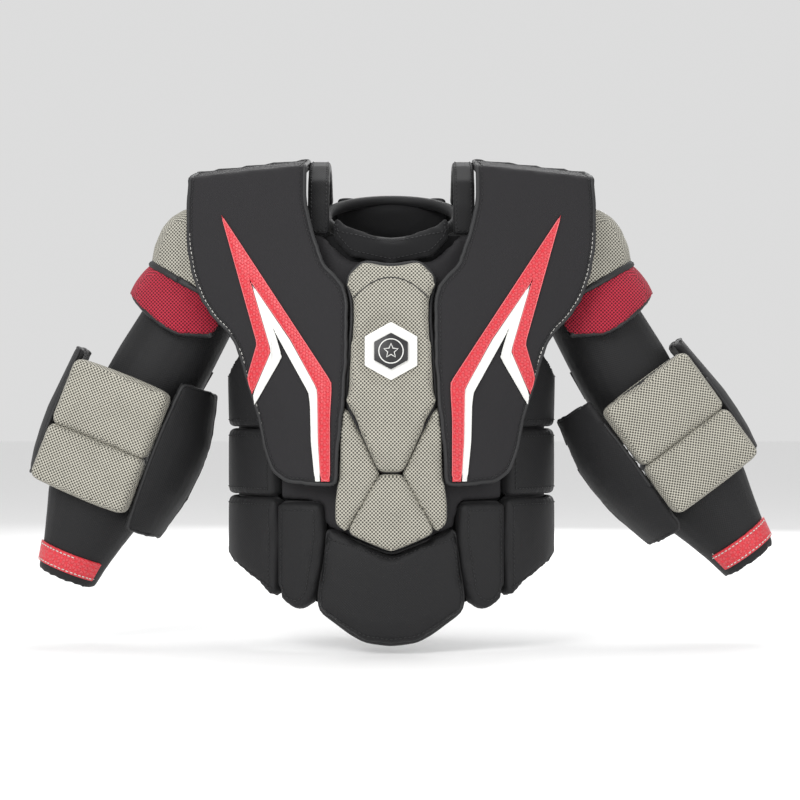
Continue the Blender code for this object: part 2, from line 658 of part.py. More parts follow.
def make_upper_arm(side, word):
    """Sleeve, its rear strap, and the toggle and hanger that carry it at the shoulder."""
    frame = arm_frame(side)
    end = -UPPER_ARM_LENGTH + SLEEVE_END_ABOVE_ELBOW

    def ends(turn):
        rear = max(0.0, -math.cos(turn))
        return -SLEEVE_START - 20 * rear, end + ELBOW_CUT_BACK * rear

    limb_panel(f"{word}_upper_arm_shell", side, frame, SLEEVE_SPREAD, 18, 3, sleeve_radii, ends,
               SLEEVE_THICKNESS, BLACK_NYLON)

    def strap_radii(drop):
        radius = SLEEVE_RADIUS + SEAT_GAP + ARM_STRAP_THICKNESS
        return radius, radius

    def strap_ends(turn):
        return -ARM_STRAP_PLACE + ARM_STRAP_WIDTH / 2, -ARM_STRAP_PLACE - ARM_STRAP_WIDTH / 2

    limb_panel(f"{word}_upper_arm_strap", side, frame, 252, 12, 1, strap_radii, strap_ends,
               ARM_STRAP_THICKNESS, WEBBING, 108)

    inner = sleeve_radii(-TOGGLE_RADIUS)[1] + TOGGLE_SEAT
    outer = CAP_DEPTH - CAP_THICKNESS - TOGGLE_CLEARANCE
    shape = bmesh.new()
    bmesh.ops.create_cone(shape, cap_ends=True, segments=16, radius1=TOGGLE_RADIUS,
                          radius2=TOGGLE_RADIUS, depth=outer - inner)
    mesh = bpy.data.meshes.new("toggle")
    shape.to_mesh(mesh)
    shape.free()
    middle = Matrix.Translation((0, -(inner + outer) / 2, 0))
    mesh.transform(frame @ middle @ Matrix.Rotation(math.radians(90), 4, "X"))
    add_object(f"{word}_shoulder_toggle", mesh, BLACK_PLASTIC, frame.translation)

    reach = SHOULDER_REACH + HANGER_WIDTH / 3
    yoke_edge = wrap(128, SHOULDER_HEIGHT, YOKE_DEPTH_OFFSET + YOKE_THICKNESS / 2)
    plane = CAP_DEPTH + LAYER_GAP
    start = yoke_edge.x + HANGER_START
    bend_length = HANGER_BLEND * (reach - start)
    setback = yoke_edge.y - HANGER_SETBACK

    def hanger(u, v):
        across = start + (reach - start) * u
        back = setback + (plane - setback) * min(1.0, (across - start) / bend_length)
        height = SHOULDER_HEIGHT + (v - 0.5) * HANGER_WIDTH
        return Vector((side * across, back, height))

    behind = Vector((side * reach, 3 * plane, SHOULDER_HEIGHT))
    panel(f"{word}_arm_hanger", 6, 1, hanger, HANGER_THICKNESS, BLACK_NYLON, behind)


def make_caps(side, word):
    """Ellipsoid cap over the shoulder and the flared skirt under it."""
    frame = arm_frame(side)
    shape = bmesh.new()
    bmesh.ops.create_uvsphere(shape, u_segments=24, v_segments=12, radius=1)
    bmesh.ops.scale(shape, vec=(CAP_REACH, CAP_DEPTH, CAP_HEIGHT), verts=shape.verts[:])
    for vertex in shape.verts:
        if vertex.co.z < 0:
            vertex.co.z *= CAP_LOWER_HEIGHT / CAP_HEIGHT
    for point, normal in (((0, 0, -CAP_RIM), (0, 0, -1)),
                          ((-CAP_INNER_CUT * side, 0, 0), (-side, 0, 0.35))):
        geometry = shape.verts[:] + shape.edges[:] + shape.faces[:]
        bmesh.ops.bisect_plane(shape, geom=geometry, plane_co=point, plane_no=normal,
                               clear_outer=True)
    mesh = bpy.data.meshes.new("cap")
    shape.to_mesh(mesh)
    shape.free()
    mesh.transform(frame)
    cap = add_object(f"{word}_shoulder_cap", mesh, GREY_MESH, frame.translation)
    thicken(cap, CAP_THICKNESS)

    top = -CAP_RIM - SEAT_GAP
    share = math.sqrt(1 - (CAP_RIM / CAP_LOWER_HEIGHT) ** 2)

    def skirt_radii(drop):
        across = between(drop, ((-SKIRT_SIDE_END - 10, SKIRT_END_REACH),
                                (-SKIRT_FLARE_PLACE, SKIRT_FLARE_REACH), (top, CAP_REACH * share)))
        deep = between(drop, ((-SKIRT_FRONT_END, CAP_DEPTH + 4),
                              (-SKIRT_FLARE_PLACE, CAP_DEPTH), (top, CAP_DEPTH * share)))
        return across, deep

    def skirt_ends(turn):
        side_share = max(0.0, math.sin(turn)) ** 2
        inward = max(0.0, -math.sin(turn))
        low = SKIRT_FRONT_END + (SKIRT_SIDE_END - SKIRT_FRONT_END) * side_share - 40 * inward
        return top, -low

    limb_panel(f"{word}_deltoid_cap", side, frame, 90 + SKIRT_SPREAD, 18, 3, skirt_radii,
               skirt_ends, SKIRT_THICKNESS, RED_MESH, 90 - SKIRT_SPREAD)


def guard_standoff(side):
    """Distance from the elbow's axis to the guard's flat back, so that it clears the sleeve."""
    facing = forearm_frame(side).to_3x3() @ Vector((0, -1, 0))
    up_arm = arm_frame(side).to_3x3() @ Vector((0, 0, 1))
    lean = facing.dot(up_arm)
    return (SLEEVE_RADIUS * math.sqrt(1 - lean * lean) + GUARD_CLEARANCE
            + max(lean * SLEEVE_END_ABOVE_ELBOW, lean * (GUARD_HALF_LENGTH + 4)))


def make_elbow_guard(side, word):
    """Two padded guard blocks and the wings that curve back from their sides."""
    frame = forearm_frame(side)
    inner = guard_standoff(side)
    thickness = GUARD_DEPTH - inner
    centre = -(GUARD_DEPTH + inner) / 2
    for piece, width, low, high in (
            ("upper", GUARD_UPPER_WIDTH, GUARD_FOLD + GUARD_SEAM / 2, GUARD_HALF_LENGTH),
            ("lower", GUARD_LOWER_WIDTH, -GUARD_HALF_LENGTH, GUARD_FOLD - GUARD_SEAM / 2)):
        box(f"{word}_elbow_guard_{piece}", (width, thickness, high - low),
            (0, centre, (high + low) / 2), GREY_MESH, GUARD_EDGE_ROUND, frame)
    seat = max(GUARD_UPPER_WIDTH, GUARD_LOWER_WIDTH) / 2 + SEAT_GAP + WING_THICKNESS * WING_LEAN
    for piece, reaches, hand in (("inner_wing", WING_INNER_REACHES, -1),
                                 ("outer_wing", WING_OUTER_REACHES, 1)):
        high = reaches[0][0]
        low = reaches[-1][0]

        def wing(u, v, reaches=reaches, hand=hand, high=high, low=low):
            drop = high + (low - high) * v
            reach = between(drop, reaches)
            first = math.asin(min(seat / reach, 0.98))
            deep = WING_FRONT_DEPTH / math.cos(first)
            deep = min(deep, GUARD_DEPTH + 12)
            turn = first + (math.radians(WING_REAR_ANGLE) - first) * u
            return frame @ Vector((side * hand * reach * math.sin(turn), -deep * math.cos(turn),
                                   drop))

        panel(f"{word}_{piece}", 7, 6, wing, WING_THICKNESS, BLACK_NYLON, frame.translation,
              frame.translation)


def make_forearm(side, word):
    """Forearm shell and the wrist tab on its cuff."""
    frame = forearm_frame(side)
    deep_top = guard_standoff(side) - SEAT_GAP

    def radii(drop):
        across = between(drop, FOREARM_WIDTHS)
        deep = between(drop, ((FOREARM_END, FOREARM_WIDTHS[-1][1]), (-150, 46),
                              (-84, deep_top)))
        return across, deep

    def ends(turn):
        rear = max(0.0, -math.cos(turn))
        return FOREARM_START - ELBOW_CUT_BACK * rear, FOREARM_END

    limb_panel(f"{word}_forearm_shell", side, frame, FOREARM_SPREAD, 16, 5, radii, ends,
               FOREARM_THICKNESS, BLACK_NYLON)

    def tab_radii(drop):
        across, deep = radii(drop)
        lift = SEAT_GAP + TAB_THICKNESS
        return across + lift, deep + lift

    def tab_ends(turn):
        return TAB_HIGH, TAB_LOW

    limb_panel(f"{word}_wrist_tab", side, frame, TAB_SPREAD, 8, 1, tab_radii, tab_ends,
               TAB_THICKNESS, RED_VINYL)


make_front()
make_flaps()
make_yoke()
make_buckles()
for arm_side, arm_word in SIDES:
    make_upper_arm(arm_side, arm_word)
    make_caps(arm_side, arm_word)
    make_elbow_guard(arm_side, arm_word)
    make_forearm(arm_side, arm_word)
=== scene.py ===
"""Looks of an ice-hockey goalkeeper's chest and arm protector: padded covers, piping and stitching.

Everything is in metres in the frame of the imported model: +Z up, front towards -Y.
"""

import json
import math

import bmesh
import bpy
from mathutils import Matrix, Vector
from mathutils.bvhtree import BVHTree


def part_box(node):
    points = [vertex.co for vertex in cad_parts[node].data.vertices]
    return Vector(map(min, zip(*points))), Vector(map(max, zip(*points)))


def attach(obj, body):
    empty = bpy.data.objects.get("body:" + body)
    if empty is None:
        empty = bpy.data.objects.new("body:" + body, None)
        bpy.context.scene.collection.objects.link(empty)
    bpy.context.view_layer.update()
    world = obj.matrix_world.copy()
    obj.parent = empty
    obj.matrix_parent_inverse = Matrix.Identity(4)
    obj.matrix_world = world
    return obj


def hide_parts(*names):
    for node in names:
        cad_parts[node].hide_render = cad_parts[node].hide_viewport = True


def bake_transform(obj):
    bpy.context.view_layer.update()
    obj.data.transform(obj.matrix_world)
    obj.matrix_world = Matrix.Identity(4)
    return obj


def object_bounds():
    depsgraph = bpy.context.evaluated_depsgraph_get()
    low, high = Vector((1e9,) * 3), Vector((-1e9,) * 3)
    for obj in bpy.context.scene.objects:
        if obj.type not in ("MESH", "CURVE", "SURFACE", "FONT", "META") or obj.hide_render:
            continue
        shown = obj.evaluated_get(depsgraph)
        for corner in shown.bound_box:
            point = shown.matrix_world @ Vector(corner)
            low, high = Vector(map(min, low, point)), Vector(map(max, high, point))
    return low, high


bl_info = {
    "name": "Goalkeeper chest and arm protector",
    "version": (1, 0, 0),
    "blender": (4, 5, 0),
    "location": "View3D > Sidebar > Protector",
    "description": "Builds the padded covers, trims and finishes of a chest and arm protector",
    "category": "Object",
}

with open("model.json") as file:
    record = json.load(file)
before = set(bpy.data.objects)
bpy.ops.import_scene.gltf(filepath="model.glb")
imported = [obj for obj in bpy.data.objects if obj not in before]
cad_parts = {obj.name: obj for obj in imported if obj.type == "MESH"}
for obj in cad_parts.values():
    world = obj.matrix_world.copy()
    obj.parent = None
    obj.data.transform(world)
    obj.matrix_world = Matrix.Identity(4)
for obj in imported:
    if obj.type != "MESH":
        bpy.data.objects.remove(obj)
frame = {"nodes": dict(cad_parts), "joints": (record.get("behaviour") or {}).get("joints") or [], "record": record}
CAD_BOX = [list(corner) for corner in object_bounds()]
BODY_OF = {node: body for body, nodes in frame["record"]["behaviour"]["bodies"].items()
           for node in nodes}
SLOT_OF = {entry["node"]: entry["material_slot"] for entry in frame["record"]["subparts"]}
SIDES = (("left", 1), ("right", -1))
UV_NAME = "cloth"
FOAM_PRESSURE = 4.0
FOAM_STIFFNESS = 25
FOAM_FRAMES = 20
RIM_STEP = 0.006                 # metres between the points of a piping
LAY_REACH = 0.02                 # how far a run of points may lie from the cover it is laid on
BADGE_CLEARANCE = 0.037          # the breastbone pad is held flat inside this radius
BADGE_BLEND = 0.012
ELBOW_SLEEVE_RADIUS = 0.044
NECK_BAND_RADIUS = 0.0075
CAMERA_PLACE = (0.011, -3.1, -0.269)
CAMERA_LENS = 108


# ---------------------------------------------------------------- sizes and colours

def length(name, default, description):
    """A length property in metres."""
    return bpy.props.FloatProperty(name=name, default=default, description=description,
                                   subtype="DISTANCE", unit="LENGTH", min=0.0)


def colour(name, default, description):
    """A colour property."""
    return bpy.props.FloatVectorProperty(name=name, default=default, description=description,
                                         subtype="COLOR", size=3, min=0.0, max=1.0)


class ProtectorSizes(bpy.types.PropertyGroup):
    """Sizes of the covers and trims."""
    voxel: length("Cover grid", 0.005, "Mesh size of the padded covers")
    swell: length("Swell", 0.0045, "How far the foam may push its cover out")
    piping: length("Piping", 0.0021, "Radius of the piping round the pads")
    binding: length("Binding", 0.0042, "Radius of the binding on the shoulder caps")
    stitch: length("Stitch", 0.0034, "Length of one stitch")
    stitch_gap: length("Stitch pitch", 0.0056, "Distance from one stitch to the next")
    stitch_inset: length("Stitch inset", 0.0062, "Distance of the stitching from the edge")
    mesh_pitch: length("Mesh pitch", 0.0046, "Size of one cell of the spacer mesh")
    knit_pitch: length("Knit pitch", 0.0021, "Size of one stitch of the black knit")


class ProtectorColours(bpy.types.PropertyGroup):
    """Colours of the cloths and trims."""
    knit: colour("Black knit", (0.021, 0.020, 0.022), "Colour of the chest flaps")
    nylon: colour("Black nylon", (0.017, 0.017, 0.018), "Colour of the sleeves and blocks")
    liner: colour("Liner", (0.012, 0.012, 0.013), "Colour of the lining")
    grey: colour("Grey mesh", (0.52, 0.50, 0.425), "Thread colour of the grey mesh")
    # The grey mesh's hole colour is painted shade: a darker copy of the grey thread colour for the shade inside
    # the holes.
    grey_hole_shade: colour("Grey mesh hole", (0.040, 0.039, 0.034), "Colour inside the mesh's holes")
    red: colour("Red mesh", (0.50, 0.022, 0.050), "Thread colour of the red mesh")
    # The red mesh's hole colour is painted shade: a darker copy of the red thread colour for the shade inside the
    # holes.
    red_hole_shade: colour("Red mesh hole", (0.080, 0.004, 0.010), "Colour inside the red mesh's holes")
    vinyl: colour("Red vinyl", (0.62, 0.022, 0.036), "Colour of the embossed red trim")
    white: colour("White vinyl", (0.80, 0.80, 0.77), "Colour of the white trim")
    thread: colour("Thread", (0.62, 0.61, 0.57), "Colour of the light stitching")
    piping: colour("Piping", (0.012, 0.012, 0.013), "Colour of the piping")


# ---------------------------------------------------------------- shader expressions

class Term:
    """A socket in a node tree that can be used in arithmetic."""

    def __init__(self, finish, socket):
        self.finish = finish
        self.socket = socket

    def _with(self, operation, other, swapped=False):
        first, second = (other, self) if swapped else (self, other)
        return self.finish.math(operation, first, second)

    def __add__(self, other):
        return self._with("ADD", other)

    __radd__ = __add__

    def __sub__(self, other):
        return self._with("SUBTRACT", other)

    def __rsub__(self, other):
        return self._with("SUBTRACT", other, True)

    def __mul__(self, other):
        return self._with("MULTIPLY", other)

    __rmul__ = __mul__


class Finish:
    """A Principled material built from expressions."""

    def __init__(self, name):
        self.material = bpy.data.materials.new(name)
        self.material.use_nodes = True
        self.tree = self.material.node_tree
        self.shader = self.tree.nodes["Principled BSDF"]

    def node(self, kind, settings=None, **sockets):
        """Add a node: settings first, then the values or links of its sockets."""
        made = self.tree.nodes.new(kind)
        for key, value in (settings or {}).items():
            setattr(made, key, value)
        for key, value in sockets.items():
            socket = made.inputs[int(key[1:])] if key[0] == "i" and key[1:].isdigit() else \
                made.inputs[key.replace("_", " ")]
            self.feed(socket, value)
        return made

    def feed(self, socket, value):
        """Link a term to a socket, or set the socket's own value."""
        if isinstance(value, Term):
            self.tree.links.new(value.socket, socket)
        else:
            socket.default_value = value

    def math(self, operation, *values):
        """A Math node on terms or numbers."""
        made = self.tree.nodes.new("ShaderNodeMath")
        made.operation = operation
        for socket, value in zip(made.inputs, values):
            self.feed(socket, value)
        return Term(self, made.outputs[0])

    def cloth_axes(self):
        """The two coordinates of the cloth's own map, in metres."""
        mapped = self.node("ShaderNodeUVMap", {"uv_map": UV_NAME})
        split = self.node("ShaderNodeSeparateXYZ", i0=Term(self, mapped.outputs[0]))
        return Term(self, split.outputs[0]), Term(self, split.outputs[1])

    def place(self):
        """Object coordinates."""
        return Term(self, self.node("ShaderNodeTexCoord").outputs["Object"])

    def noise(self, scale, detail=3.0):
        """A noise value from 0 to 1."""
        made = self.node("ShaderNodeTexNoise", i0=self.place(), Scale=scale, Detail=detail)
        return Term(self, made.outputs[0])

    def step(self, value, low, high):
        """A smooth step of a value from low to high."""
        made = self.node("ShaderNodeMapRange", {"interpolation_type": "SMOOTHSTEP"},
                         i0=value, i1=low, i2=high)
        return Term(self, made.outputs[0])

    def mix(self, share, first, second):
        """Mix two colours."""
        made = self.tree.nodes.new("ShaderNodeMix")
        made.data_type = "RGBA"
        self.feed(made.inputs["Factor"], share)
        for socket, value in zip((made.inputs[6], made.inputs[7]), (first, second)):
            self.feed(socket, value if isinstance(value, Term) else (*value, 1.0))
        return Term(self, made.outputs[2])

    def bump(self, height, depth, strength=1.0):
        """A bumped normal."""
        made = self.node("ShaderNodeBump", Height=height, Distance=depth, Strength=strength)
        return Term(self, made.outputs[0])

    def set(self, **sockets):
        """Set or link the shader's own sockets."""
        for key, value in sockets.items():
            socket = self.shader.inputs[key.replace("_", " ")]
            if not isinstance(value, Term) and hasattr(value, "__len__"):
                value = (*value, 1.0)
            self.feed(socket, value)
        return self.material


def spacer_mesh(name, thread, hole, pitch):
    """Open spacer mesh: a diagonal net of threads over holes darkened with painted shade."""
    finish = Finish(name)
    across, up = finish.cloth_axes()
    turn = math.pi / pitch
    first = finish.math("ABSOLUTE", finish.math("SINE", (across + up) * turn))
    second = finish.math("ABSOLUTE", finish.math("SINE", (across - up) * turn))
    holes = finish.step(first * second, 0.22, 0.62)
    worn = finish.step(finish.noise(26.0), 0.30, 0.72)
    light = finish.mix(worn * 0.35, thread, [0.72 * part for part in thread])
    # Painted shade: the holes take a darker copy of the thread colour for the shade that falls inside them.
    tint = finish.mix(holes * 0.92, light, hole)
    normal = finish.bump(1 - holes, 0.0009, 0.8)
    return finish.set(Base_Color=tint, Roughness=0.62 + holes * 0.25, Normal=normal,
                      Specular_IOR_Level=0.25, Sheen_Weight=0.05)


def knit_cloth(name, tint, pitch, contrast, roughness, sheen):
    """Fine knit or woven cloth with a slight rib and uneven shade."""
    finish = Finish(name)
    across, up = finish.cloth_axes()
    turn = 2 * math.pi / pitch
    rib = finish.math("SINE", across * turn) * finish.math("SINE", up * turn)
    rib = rib * 0.5 + 0.5
    cloudy = finish.noise(9.0)
    dark = [0.62 * part for part in tint]
    bright = [min(1.0, 1.0 + contrast) * part + 0.012 * contrast for part in tint]
    shade = finish.mix(rib * contrast + cloudy * 0.35, dark, bright)
    creases = finish.noise(34.0, 2.0)
    normal = finish.bump(rib * 0.6 + creases * 2.2, 0.0005, 0.7)
    return finish.set(Base_Color=shade, Roughness=roughness + (cloudy - 0.5) * 0.16,
                      Normal=normal, Specular_IOR_Level=0.22, Sheen_Weight=sheen)


def embossed_vinyl(name, tint):
    """Glossy vinyl stamped with small facets; the facet faces carry a painted highlight."""
    finish = Finish(name)
    across, up = finish.cloth_axes()
    turn = math.pi / 0.0064
    facets = finish.math("ABSOLUTE", finish.math("SINE", up * turn))
    for lean in (0.866, -0.866):
        stripe = finish.math("SINE", (across * lean + up * 0.5) * turn)
        facets = facets * finish.math("ABSOLUTE", stripe)
    share = finish.step(facets, 0.04, 0.42)
    # Painted highlight: the facet faces are mixed towards a paler red than the grooves between them; the facets
    # themselves are the vinyl's embossing.
    shade = finish.mix(share * 0.55, tint, [min(1.0, 0.90 * part + 0.07) for part in tint])
    normal = finish.bump(share, 0.0008, 0.9)
    return finish.set(Base_Color=shade, Roughness=0.30 + share * 0.14, Normal=normal)


def smooth_vinyl(name, tint, roughness, grain=420.0):
    """Smooth coated trim with a faint grain and slight handling marks."""
    finish = Finish(name)
    grains = finish.noise(grain, 2.0)
    marks = finish.step(finish.noise(14.0), 0.35, 0.75)
    shade = finish.mix(marks * 0.25, tint, [0.86 * part for part in tint])
    normal = finish.bump(grains, 0.0002, 0.5)
    return finish.set(Base_Color=shade, Roughness=roughness + marks * 0.12, Normal=normal)


def ribbed_webbing(name, tint):
    """Woven webbing: close ribs across the strap."""
    finish = Finish(name)
    across, up = finish.cloth_axes()
    turn = 2 * math.pi / 0.0016
    rib = finish.math("SINE", (across + up * 0.5) * turn) * 0.5 + 0.5
    shade = finish.mix(rib, [0.55 * part for part in tint], [1.5 * part for part in tint])
    return finish.set(Base_Color=shade, Roughness=0.78 + rib * 0.1,
                      Normal=finish.bump(rib, 0.0004, 0.7))


FINISHES = {}


def make_finishes():
    """Make every material once."""
    sizes = bpy.context.scene.protector_sizes
    tints = bpy.context.scene.protector_colours
    FINISHES.update({
        "knit": knit_cloth("black_knit", tints.knit, sizes.knit_pitch, 0.55, 0.72, 0.03),
        "nylon": knit_cloth("black_nylon", tints.nylon, sizes.knit_pitch * 1.6, 0.30, 0.60, 0.02),
        "liner": knit_cloth("black_liner", tints.liner, sizes.knit_pitch, 0.40, 0.85, 0.03),
        "grey_mesh": spacer_mesh("grey_mesh", tints.grey, tints.grey_hole_shade, sizes.mesh_pitch),
        "red_mesh": spacer_mesh("red_mesh", tints.red, tints.red_hole_shade, sizes.mesh_pitch),
        "red_vinyl": embossed_vinyl("red_vinyl", tints.vinyl),
        # Painted highlight: a lighter copy of the red vinyl for the thin piping round the red chevron, for the
        # light caught along its edge.
        "red_edge_highlight": smooth_vinyl("red_edge_highlight", [min(1.0, part + 0.10) for part in tints.vinyl], 0.3),
        "white_vinyl": smooth_vinyl("white_vinyl", tints.white, 0.32),
        "plastic": smooth_vinyl("black_plastic", (0.014, 0.014, 0.015), 0.38, 900.0),
        "webbing": ribbed_webbing("black_webbing", (0.024, 0.024, 0.026)),
        "piping": smooth_vinyl("black_piping", tints.piping, 0.55),
        "thread": smooth_vinyl("light_thread", tints.thread, 0.7, 1500.0),
    })


# ---------------------------------------------------------------- modelling helpers

def joint_place(name):
    """Where a joint turns, at rest."""
    return next(Vector(joint["pos_m"]) for joint in frame["joints"] if joint["name"] == name)


def only(piece):
    """Select one object and make it active."""
    bpy.ops.object.select_all(action="DESELECT")
    piece.select_set(True)
    bpy.context.view_layer.objects.active = piece


def apply_modifier(piece, kind, **settings):
    """Add a modifier, set it and apply it."""
    only(piece)
    modifier = piece.modifiers.new(kind.lower(), kind)
    for key, value in settings.items():
        setattr(modifier, key, value)
    bpy.ops.object.modifier_apply(modifier=modifier.name)


def cloth_map(piece, turn=0.0):
    """Lay the cloth's own map, in metres, from the side that each face looks towards."""
    mesh = piece.data
    layer = mesh.uv_layers.get(UV_NAME) or mesh.uv_layers.new(name=UV_NAME)
    back = Matrix.Rotation(-turn, 3, "Y")
    for face in mesh.polygons:
        normal = back @ face.normal
        sizes = [abs(part) for part in normal]
        for loop in face.loop_indices:
            point = back @ mesh.vertices[mesh.loops[loop].vertex_index].co
            if sizes[1] >= sizes[0] * 0.8 and sizes[1] >= sizes[2]:
                layer.data[loop].uv = (point.x, point.z)
            elif sizes[0] >= sizes[2]:
                layer.data[loop].uv = (point.y, point.z)
            else:
                layer.data[loop].uv = (point.x, point.y)


def copy_of(node, suffix="cover"):
    """Copy a node's solid as a merged mesh that stands for it."""
    source = frame["nodes"][node]
    piece = bpy.data.objects.new(f"{node}_{suffix}", source.data.copy())
    bpy.context.scene.collection.objects.link(piece)
    shape = bmesh.new()
    shape.from_mesh(piece.data)
    bmesh.ops.remove_doubles(shape, verts=shape.verts[:], dist=1e-5)
    shape.to_mesh(piece.data)
    shape.free()
    piece.data.materials.clear()
    return piece


def dress(piece, finish, body, turn=0.0):
    """Give a finished piece its material, cloth map and body."""
    piece.data.materials.clear()
    piece.data.materials.append(FINISHES[finish])
    only(piece)
    bpy.ops.object.shade_smooth()
    cloth_map(piece, turn)
    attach(piece, body)
    return piece


def inflate(piece, cap):
    """Let the foam push its cover out by cloth pressure, no further than the cap."""
    scene = bpy.context.scene
    rest = [vertex.co.copy() for vertex in piece.data.vertices]
    only(piece)
    cloth = piece.modifiers.new("foam", "CLOTH")
    cloth.settings.use_pressure = True
    cloth.settings.uniform_pressure_force = FOAM_PRESSURE
    cloth.settings.effector_weights.gravity = 0.0
    cloth.settings.quality = 4
    cloth.settings.tension_stiffness = FOAM_STIFFNESS
    cloth.settings.compression_stiffness = FOAM_STIFFNESS
    cloth.point_cache.frame_start = 1
    cloth.point_cache.frame_end = FOAM_FRAMES
    for number in range(1, FOAM_FRAMES + 1):
        scene.frame_set(number)
    bpy.ops.object.modifier_apply(modifier=cloth.name)
    scene.frame_set(1)
    for vertex, start in zip(piece.data.vertices, rest):
        move = vertex.co - start
        if move.length > cap:
            vertex.co = start + move * (cap / move.length)


def soft_pad(node, rounds=6, swell=True, turn=0.0, voxel=None, held=None):
    """Make a padded cover from a node's solid: remeshed, eased at its edges and swollen.

    held(point) is the share of the swelling that is free at a point; 0 holds the cover down.
    """
    sizes = bpy.context.scene.protector_sizes
    piece = copy_of(node)
    apply_modifier(piece, "REMESH", mode="VOXEL", voxel_size=voxel or sizes.voxel)
    start = [vertex.co.copy() for vertex in piece.data.vertices]
    apply_modifier(piece, "SMOOTH", factor=0.5, iterations=rounds)
    apply_modifier(piece, "DISPLACE", strength=0.0003 * rounds, mid_level=0.0)
    if swell:
        inflate(piece, sizes.swell)
    if held:
        for vertex, place in zip(piece.data.vertices, start):
            vertex.co = place.lerp(vertex.co, held(place))
    apply_modifier(piece, "SUBSURF", levels=1, render_levels=1)
    dress(piece, SLOT_OF[node], BODY_OF[node], turn)
    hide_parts(node)
    return piece


def sheet_copy(node):
    """Make a thin lining from a node's solid, subdivided once and shaded smooth across its gentler folds."""
    piece = copy_of(node)
    apply_modifier(piece, "SUBSURF", subdivision_type="SIMPLE", levels=1, render_levels=1)
    dress(piece, SLOT_OF[node], BODY_OF[node])
    only(piece)
    bpy.ops.object.shade_smooth_by_angle(angle=math.radians(35))
    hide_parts(node)
    return piece


def trim_copy(node, width, segments=2, turn=0.0):
    """Make a firm trim from a node's solid, with rounded edges."""
    piece = copy_of(node, "trim")
    apply_modifier(piece, "BEVEL", width=width, segments=segments, limit_method="ANGLE",
                   angle_limit=math.radians(40))
    dress(piece, SLOT_OF[node], BODY_OF[node], turn)
    only(piece)
    bpy.ops.object.shade_smooth_by_angle(angle=math.radians(35))
    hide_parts(node)
    return piece


def rim_loops(node, outward, least=0.55, bend=38.0):
    """Closed runs of corner points along the rim of a node's outer face."""
    shape = bmesh.new()
    shape.from_mesh(frame["nodes"][node].data)
    bmesh.ops.remove_doubles(shape, verts=shape.verts[:], dist=1e-5)
    shape.normal_update()
    chosen = set()
    for edge in shape.edges:
        if len(edge.link_faces) != 2:
            continue
        normals = [face.normal for face in edge.link_faces]
        if math.degrees(normals[0].angle(normals[1], 0.0)) < bend:
            continue
        middle = (edge.verts[0].co + edge.verts[1].co) / 2
        facing = [normal.dot(outward(middle)) for normal in normals]
        if max(facing) > least and min(facing) < least:
            chosen.add(edge)
    loops = []
    while chosen:
        edge = min(chosen, key=lambda item: item.index)
        chosen.discard(edge)
        start, current = edge.verts
        points = [start.co.copy(), current.co.copy()]
        while True:
            onward = [item for item in current.link_edges if item in chosen]
            if not onward:
                break
            step = min(onward, key=lambda item: item.index)
            chosen.discard(step)
            current = step.other_vert(current)
            points.append(current.co.copy())
        closed = (points[0] - points[-1]).length < 1e-6
        if closed:
            points.pop()
        if len(points) > 3:
            loops.append((points, closed))
    shape.free()
    return loops


def even_run(points, closed, step, easing=2):
    """Resample a run of points at even steps and ease its corners."""
    ring = points + [points[0]] if closed else points
    spans = [(second - first).length for first, second in zip(ring, ring[1:])]
    total = sum(spans)
    count = max(4, round(total / step))
    made = []
    index, passed = 0, 0.0
    for number in range(count if closed else count + 1):
        wanted = total * number / count
        while index < len(spans) - 1 and passed + spans[index] < wanted:
            passed += spans[index]
            index += 1
        share = (wanted - passed) / max(spans[index], 1e-9)
        made.append(ring[index].lerp(ring[index + 1], min(1.0, max(0.0, share))))
    for _ in range(easing):
        eased = list(made)
        for number in range(len(made)):
            if closed or 0 < number < len(made) - 1:
                before, after = made[number - 1], made[(number + 1) % len(made)]
                eased[number] = (before + made[number] * 2 + after) / 4
        made = eased
    return made


def tube(name, runs, radius, finish, body):
    """Make piping along runs of points."""
    curve = bpy.data.curves.new(name, "CURVE")
    curve.dimensions = "3D"
    curve.bevel_depth = radius
    curve.bevel_resolution = 2
    curve.use_fill_caps = True
    for points, closed in runs:
        spline = curve.splines.new("POLY")
        spline.points.add(len(points) - 1)
        for place, point in zip(spline.points, points):
            place.co = (*point, 1)
        spline.use_cyclic_u = closed
    piece = bpy.data.objects.new(name, curve)
    bpy.context.scene.collection.objects.link(piece)
    only(piece)
    bpy.ops.object.convert(target="MESH")
    piece = bpy.context.view_layer.objects.active
    shape = bmesh.new()
    shape.from_mesh(piece.data)
    bmesh.ops.remove_doubles(shape, verts=shape.verts[:], dist=1e-6)
    bmesh.ops.recalc_face_normals(shape, faces=shape.faces[:])
    shape.to_mesh(piece.data)
    shape.free()
    return dress(piece, finish, body)


def surface_of(piece):
    """Search tree of a finished piece's surface."""
    depsgraph = bpy.context.evaluated_depsgraph_get()
    return BVHTree.FromObject(piece, depsgraph)


def laid_on(points, tree, lift):
    """Lay points on a surface, a little above it; points far from it stay where they are."""
    laid = []
    for point in points:
        place, normal, _, gap = tree.find_nearest(point)
        laid.append((place + normal * lift, normal) if gap < LAY_REACH else (point, Vector((0, -1, 0))))
    return laid


def inset_run(points, closed, tree, inset, outward):
    """Move a run in from its edge along the surface."""
    moved = []
    for number, point in enumerate(points):
        before = points[number - 1] if closed or number else point
        after = points[(number + 1) % len(points)] if closed or number < len(points) - 1 else point
        along = (after - before).normalized()
        inward = outward(point).cross(along).normalized()
        moved.append((point, inward))
    turning = sum(1 if tree.find_nearest(point + inward * inset)[3]
                  < tree.find_nearest(point - inward * inset)[3] else -1
                  for point, inward in moved[::5])
    sign = 1 if turning > 0 else -1
    return [point + inward * inset * sign for point, inward in moved]


